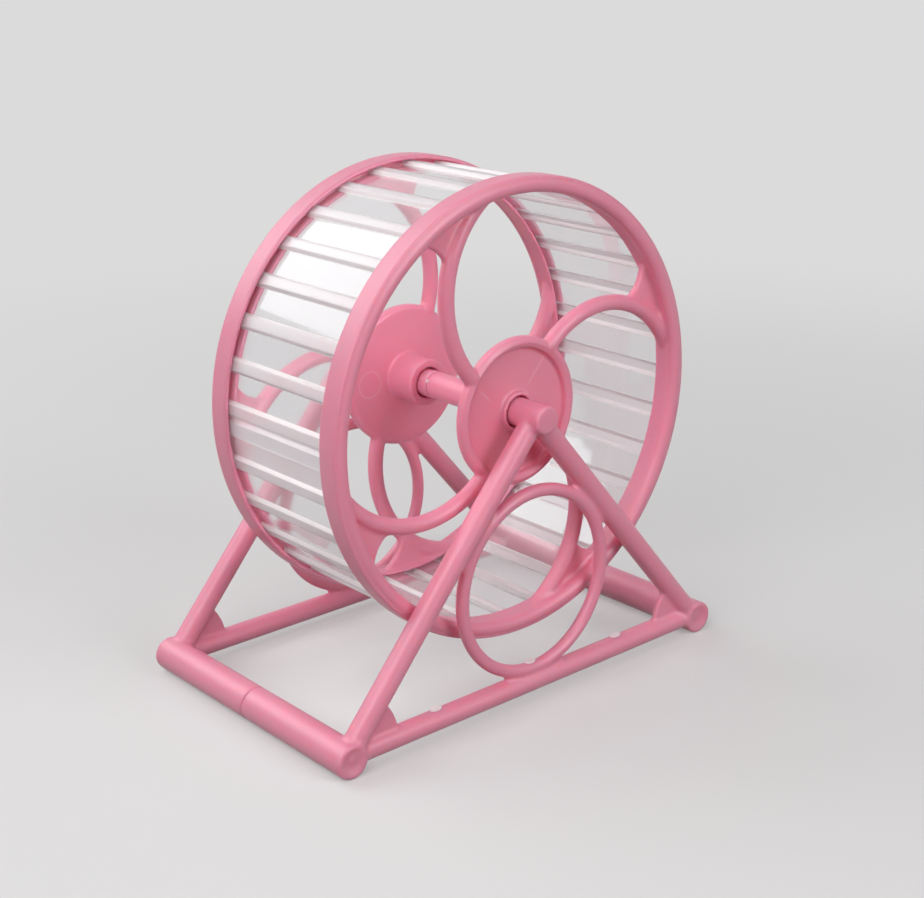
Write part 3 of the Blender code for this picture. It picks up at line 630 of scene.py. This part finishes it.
bpy.ops.mesh.primitive_circle_add(vertices=40, radius=ARM_RADIUS, fill_type="NGON",
                                  location=arm_point(ARM_START, ARM_ARC_RADIUS),
                                  rotation=(0.0, -ARM_START, 0.0))
bpy.ops.object.transform_apply(location=True, rotation=True, scale=True)
arm = bpy.context.object
bpy.ops.object.mode_set(mode="EDIT")
bpy.ops.mesh.select_all(action="SELECT")
bpy.ops.mesh.spin(steps=60, angle=ARM_END - ARM_START, center=(ARM_ARC_CENTRE, -ARM_PLANE, 0.0),
                  axis=(0.0, 1.0, 0.0))
bpy.ops.mesh.select_all(action="SELECT")
bpy.ops.mesh.fill_holes(sides=0)
bpy.ops.mesh.normals_make_consistent(inside=False)
bpy.ops.object.mode_set(mode="OBJECT")
bpy.ops.mesh.primitive_uv_sphere_add(segments=32, ring_count=16, radius=ARM_RADIUS,
                                     location=arm_point(ARM_END, ARM_ARC_RADIUS))
bpy.ops.object.transform_apply(location=True, rotation=True, scale=True)
arm = join([arm, bpy.context.object], "arm")

# the arm climbs a little on its way in, so that it meets the hub's lip
arm_foot = arm_point(ARM_START, ARM_ARC_RADIUS)
climb_axis = (arm_point(ARM_END, ARM_ARC_RADIUS) - arm_foot).cross(Vector((0.0, -1.0, 0.0)))
arm.matrix_world = (Matrix.Translation(arm_foot) @ Matrix.Rotation(ARM_SLOPE, 4, climb_axis)
                    @ Matrix.Translation(-arm_foot))
bpy.ops.object.transform_apply(location=True, rotation=True, scale=True)

# the web runs along the arm, then inside the rim, and back by its hollow free edge
web_outline = [arm_point(WEB_ARC_ANGLE + (ARM_START - WEB_ARC_ANGLE) * step / WEB_ARC_STEPS,
                         ARM_ARC_RADIUS) for step in range(WEB_ARC_STEPS + 1)]
past_angle = math.atan2(web_outline[-1].z, web_outline[-1].x)
rim_hold = WHEEL_RADIUS - WEB_RIM_HOLD
for step in range(1, WEB_RIM_STEPS + 1):
    angle = past_angle + (WEB_RIM_ANGLE - past_angle) * step / WEB_RIM_STEPS
    web_outline.append(Vector((rim_hold * math.cos(angle), -ARM_PLANE, rim_hold * math.sin(angle))))
wall = Vector((RIM_INNER_RADIUS * math.cos(WEB_RIM_ANGLE), -ARM_PLANE,
               RIM_INNER_RADIUS * math.sin(WEB_RIM_ANGLE)))
edge_run = web_outline[0] - wall
edge_in = Vector((-edge_run.z, 0.0, edge_run.x)) * WEB_HOLLOW_SHARE
for step in range(WEB_EDGE_STEPS):
    share = step / WEB_EDGE_STEPS
    web_outline.append(wall + edge_run * share + edge_in * math.sin(math.pi * share))
web = draw(web_outline, closed=True)
bpy.ops.mesh.edge_face_add()
bpy.ops.transform.translate(value=(0.0, -WEB_THICKNESS / 2.0, 0.0))
bpy.ops.mesh.extrude_region_move(TRANSFORM_OT_translate={"value": (0.0, WEB_THICKNESS, 0.0)})
bpy.ops.mesh.select_all(action="SELECT")
bpy.ops.mesh.normals_make_consistent(inside=False)
bpy.ops.object.mode_set(mode="OBJECT")

spoke = join([arm, web], "spoke")
spokes = [spoke]
for quarter in (1, 2, 3):
    pick(spoke)
    bpy.ops.object.duplicate()
    turned_spoke = bpy.context.object
    turned_spoke.rotation_euler.y = -quarter * math.pi / 2.0
    bpy.ops.object.transform_apply(location=True, rotation=True, scale=True)
    spokes.append(turned_spoke)
blended = join([rim_core, hub_core] + spokes, "blended_spokes")
melt(blended, WHEEL_GRAIN, WHEEL_FILLET)

# the slot runs on behind the arms' feet
room_side = SLOT_OUTER_RADIUS + SLOT_ROOM_SIDE
room_step = RIM_BACK - SLOT_ROOM_STEP
slot_room = turn_on_axle([(SLOT_INNER_RADIUS, RIM_BACK - SLOT_DEPTH), (room_side, RIM_BACK - SLOT_DEPTH),
                          (room_side, room_step), (SLOT_OUTER_RADIUS, room_step),
                          (SLOT_OUTER_RADIUS, RIM_BACK + SLOT_DEPTH),
                          (SLOT_INNER_RADIUS, RIM_BACK + SLOT_DEPTH)], steps=240)
finish_with(blended, "BOOLEAN", operation="DIFFERENCE", solver="EXACT", object=slot_room)
bpy.data.objects.remove(slot_room)
front_frame = join([rim, hub, blended], "front_wheel_frame")
polish(front_frame, WHEEL_SKIN_GRAIN, WHEEL_SMOOTHING)
front_frame.data.materials.clear()
front_frame.data.materials.append(WHEEL_PINK)
pick(front_frame)
bpy.ops.object.duplicate()
rear_frame = bpy.context.object
rear_frame.name = "rear_wheel_frame"
rear_frame.data.name = "rear_wheel_frame"

for label, wheel_side, phase, facing in (("front", front_frame, FRONT_ARM_PHASE, 0.0),
                                         ("rear", rear_frame, REAR_ARM_PHASE, math.pi)):
    pick(wheel_side)
    wheel_side.location = WHEEL_CENTRE
    wheel_side.rotation_euler = (0.0, -phase, facing)
    bpy.ops.object.transform_apply(location=True, rotation=True, scale=True)
    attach(wheel_side, "wheel")
    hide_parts(f"{label}_rim", f"{label}_hub", f"{label}_arm_1", f"{label}_arm_2",
                f"{label}_arm_3", f"{label}_arm_4")


# Track strip
# One strip of clear styrene sheet, hot formed with 32 hollow ribs that the
# animal's feet grip, bent to a drum with its ends lapped, and held in the slots
# of both rims. Its flats stay clear, and the forming left the ribs milky.
SHEET_THICKNESS = 0.5 * MM
SHEET_MIDDLE_RADIUS = 55.33 * MM
RIB_HEIGHT = 1.0 * MM
RIB_BASE_HALF_WIDTH = 1.75 * MM
RIB_TOP_HALF_WIDTH = 1.15 * MM
RIB_COUNT = 32
FIRST_RIB = math.radians(191.5)
LAST_RIB = math.radians(537.0)
UNDER_TAB_LENGTH = 10.3 * MM
OVER_TAB_LENGTH = 6.8 * MM
TAB_STEP_START = 2.5 * MM
TAB_STEP_END = 3.3 * MM
TAB_LIFT = 0.8 * MM
TRACK_HALF_WIDTH = 21.4 * MM
FLAT_STEPS = 6
SHEET_EDGE_ROUND = 0.12 * MM
ROUNDED_ABOVE = math.radians(28.0)
SMOOTH_BELOW = math.radians(12.0)
CROWN_MARGIN = 1.04
WALL_MARGIN = 1.12
STREAK_SPACING = 0.8 * MM
STREAK_STRETCH = 0.04
BUCKLE_SPACING = 14.0 * MM
BUCKLE_RISE = 0.10 * MM
CLOUD_DRIFT = 0.12
HAZE_DRIFT = 0.2


def clear_sheet(name, roughness, milk, tint, shade):
    """Clear styrene sheet; milk is how far forming clouded it, shade the light it stops."""
    material = bpy.data.materials.new(name)
    material.use_nodes = True
    tree = material.node_tree
    shader = tree.nodes["Principled BSDF"]
    place = add_node(tree, "ShaderNodeTexCoord")

    # rolling streaks, 0.8 mm apart and long round the drum
    stretch = add_node(tree, "ShaderNodeMapping",
                       values={"Scale": (STREAK_STRETCH, 1.0, STREAK_STRETCH)},
                       links={"Vector": place.outputs["Object"]})
    streak = add_node(tree, "ShaderNodeTexNoise",
                      values={"Scale": 1.0 / STREAK_SPACING, "Detail": 1.0, "Roughness": 0.5},
                      links={"Vector": stretch.outputs[0]})
    cloud = add_node(tree, "ShaderNodeMapRange",
                     values={"From Min": 0.3, "From Max": 0.7, "To Min": 1.0 - milk * (1.0 + CLOUD_DRIFT),
                             "To Max": 1.0 - milk * (1.0 - CLOUD_DRIFT)},
                     links={"Value": streak.outputs["Fac"]})
    tree.links.new(cloud.outputs[0], shader.inputs["Transmission Weight"])
    haze = add_node(tree, "ShaderNodeMapRange",
                    values={"To Min": roughness * (1.0 - HAZE_DRIFT),
                            "To Max": roughness * (1.0 + HAZE_DRIFT)},
                    links={"Value": streak.outputs["Fac"]})
    tree.links.new(haze.outputs[0], shader.inputs["Roughness"])

    # slow buckle of a thin sheet bent round
    wave = add_node(tree, "ShaderNodeTexNoise",
                    values={"Scale": 1.0 / BUCKLE_SPACING, "Detail": 1.0},
                    links={"Vector": place.outputs["Object"]})
    buckle = add_node(tree, "ShaderNodeBump", values={"Strength": 0.12, "Distance": BUCKLE_RISE},
                      links={"Height": wave.outputs["Fac"]})
    tree.links.new(buckle.outputs[0], shader.inputs["Normal"])

    # lamplight passes a clear sheet, so its shadow is faint
    rays = add_node(tree, "ShaderNodeLightPath")
    cover = add_node(tree, "ShaderNodeMapRange", values={"To Min": 1.0, "To Max": shade},
                     links={"Value": rays.outputs["Is Shadow Ray"]})
    tree.links.new(cover.outputs[0], shader.inputs["Alpha"])
    shader.inputs["Base Color"].default_value = linear(tint)
    shader.inputs["IOR"].default_value = 1.49
    return material


CLEAR_FLAT = clear_sheet("clear_styrene_sheet_formed", 0.06, 0.07, "#F6F5F7", 0.10)
FROSTED_CROWN = clear_sheet("clear_styrene_rib_crown_frosted", 0.36, 0.30, "#F0EDEF", 0.25)
MILKY_WALL = clear_sheet("clear_styrene_rib_wall_stretched", 0.40, 0.55, "#F4EFF0", 0.30)


def track_point(angle, lift):
    """A point of the bent strip, at one end of the drum."""
    reach = SHEET_MIDDLE_RADIUS + lift
    return Vector((reach * math.cos(angle), -TRACK_HALF_WIDTH, reach * math.sin(angle))) + WHEEL_CENTRE


rib_pitch = (LAST_RIB - FIRST_RIB) / (RIB_COUNT - 1)
base_turn = RIB_BASE_HALF_WIDTH / SHEET_MIDDLE_RADIUS
top_turn = RIB_TOP_HALF_WIDTH / SHEET_MIDDLE_RADIUS
track_line = [track_point(FIRST_RIB - UNDER_TAB_LENGTH / SHEET_MIDDLE_RADIUS * share, 0.0)
              for share in (1.0, 0.8, 0.6, 0.4)]
for rib in range(RIB_COUNT):
    middle = FIRST_RIB + rib_pitch * rib
    track_line += [track_point(middle - base_turn, 0.0), track_point(middle - top_turn, RIB_HEIGHT),
                   track_point(middle + top_turn, RIB_HEIGHT), track_point(middle + base_turn, 0.0)]
    if rib < RIB_COUNT - 1:
        flat = rib_pitch - 2.0 * base_turn
        track_line += [track_point(middle + base_turn + flat * step / FLAT_STEPS, 0.0)
                       for step in range(1, FLAT_STEPS)]
track_line += [track_point(LAST_RIB + TAB_STEP_START / SHEET_MIDDLE_RADIUS, 0.0),
               track_point(LAST_RIB + TAB_STEP_END / SHEET_MIDDLE_RADIUS, TAB_LIFT),
               track_point(LAST_RIB + OVER_TAB_LENGTH / SHEET_MIDDLE_RADIUS, TAB_LIFT)]
track = draw(track_line)
bpy.ops.mesh.extrude_region_move(TRANSFORM_OT_translate={"value": (0.0, 2.0 * TRACK_HALF_WIDTH, 0.0)})
track.name = "track_strip_clear"
track.data.name = "track_strip_clear"
bpy.ops.mesh.select_all(action="SELECT")
bpy.ops.mesh.normals_make_consistent(inside=False)
bpy.ops.object.mode_set(mode="OBJECT")
finish_with(track, "SOLIDIFY", thickness=SHEET_THICKNESS, offset=0.0, use_even_offset=True)
finish_with(track, "BEVEL", width=SHEET_EDGE_ROUND, segments=2, limit_method="ANGLE",
            angle_limit=ROUNDED_ABOVE)
bpy.ops.object.shade_smooth()
bpy.ops.object.shade_smooth_by_angle(angle=SMOOTH_BELOW)
track.data.materials.clear()
for finish in (CLEAR_FLAT, FROSTED_CROWN, MILKY_WALL):
    track.data.materials.append(finish)

# each face by its place on the strip: flat, crown, wall, or the clouded lap of its ends
strip_start = FIRST_RIB - UNDER_TAB_LENGTH / SHEET_MIDDLE_RADIUS
lap_start = LAST_RIB + base_turn - 2.0 * math.pi
for face in track.data.polygons:
    angle = math.atan2(face.center.z - WHEEL_CENTRE.z, face.center.x - WHEEL_CENTRE.x) % (2.0 * math.pi)
    turn = strip_start + (angle - strip_start) % (2.0 * math.pi)
    beside = abs((turn - FIRST_RIB + rib_pitch / 2.0) % rib_pitch - rib_pitch / 2.0)
    if lap_start < angle < FIRST_RIB - base_turn or beside < top_turn * CROWN_MARGIN:
        face.material_index = 1
    elif beside < base_turn * WALL_MARGIN:
        face.material_index = 2
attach(track, "wheel")
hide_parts("track_strip")
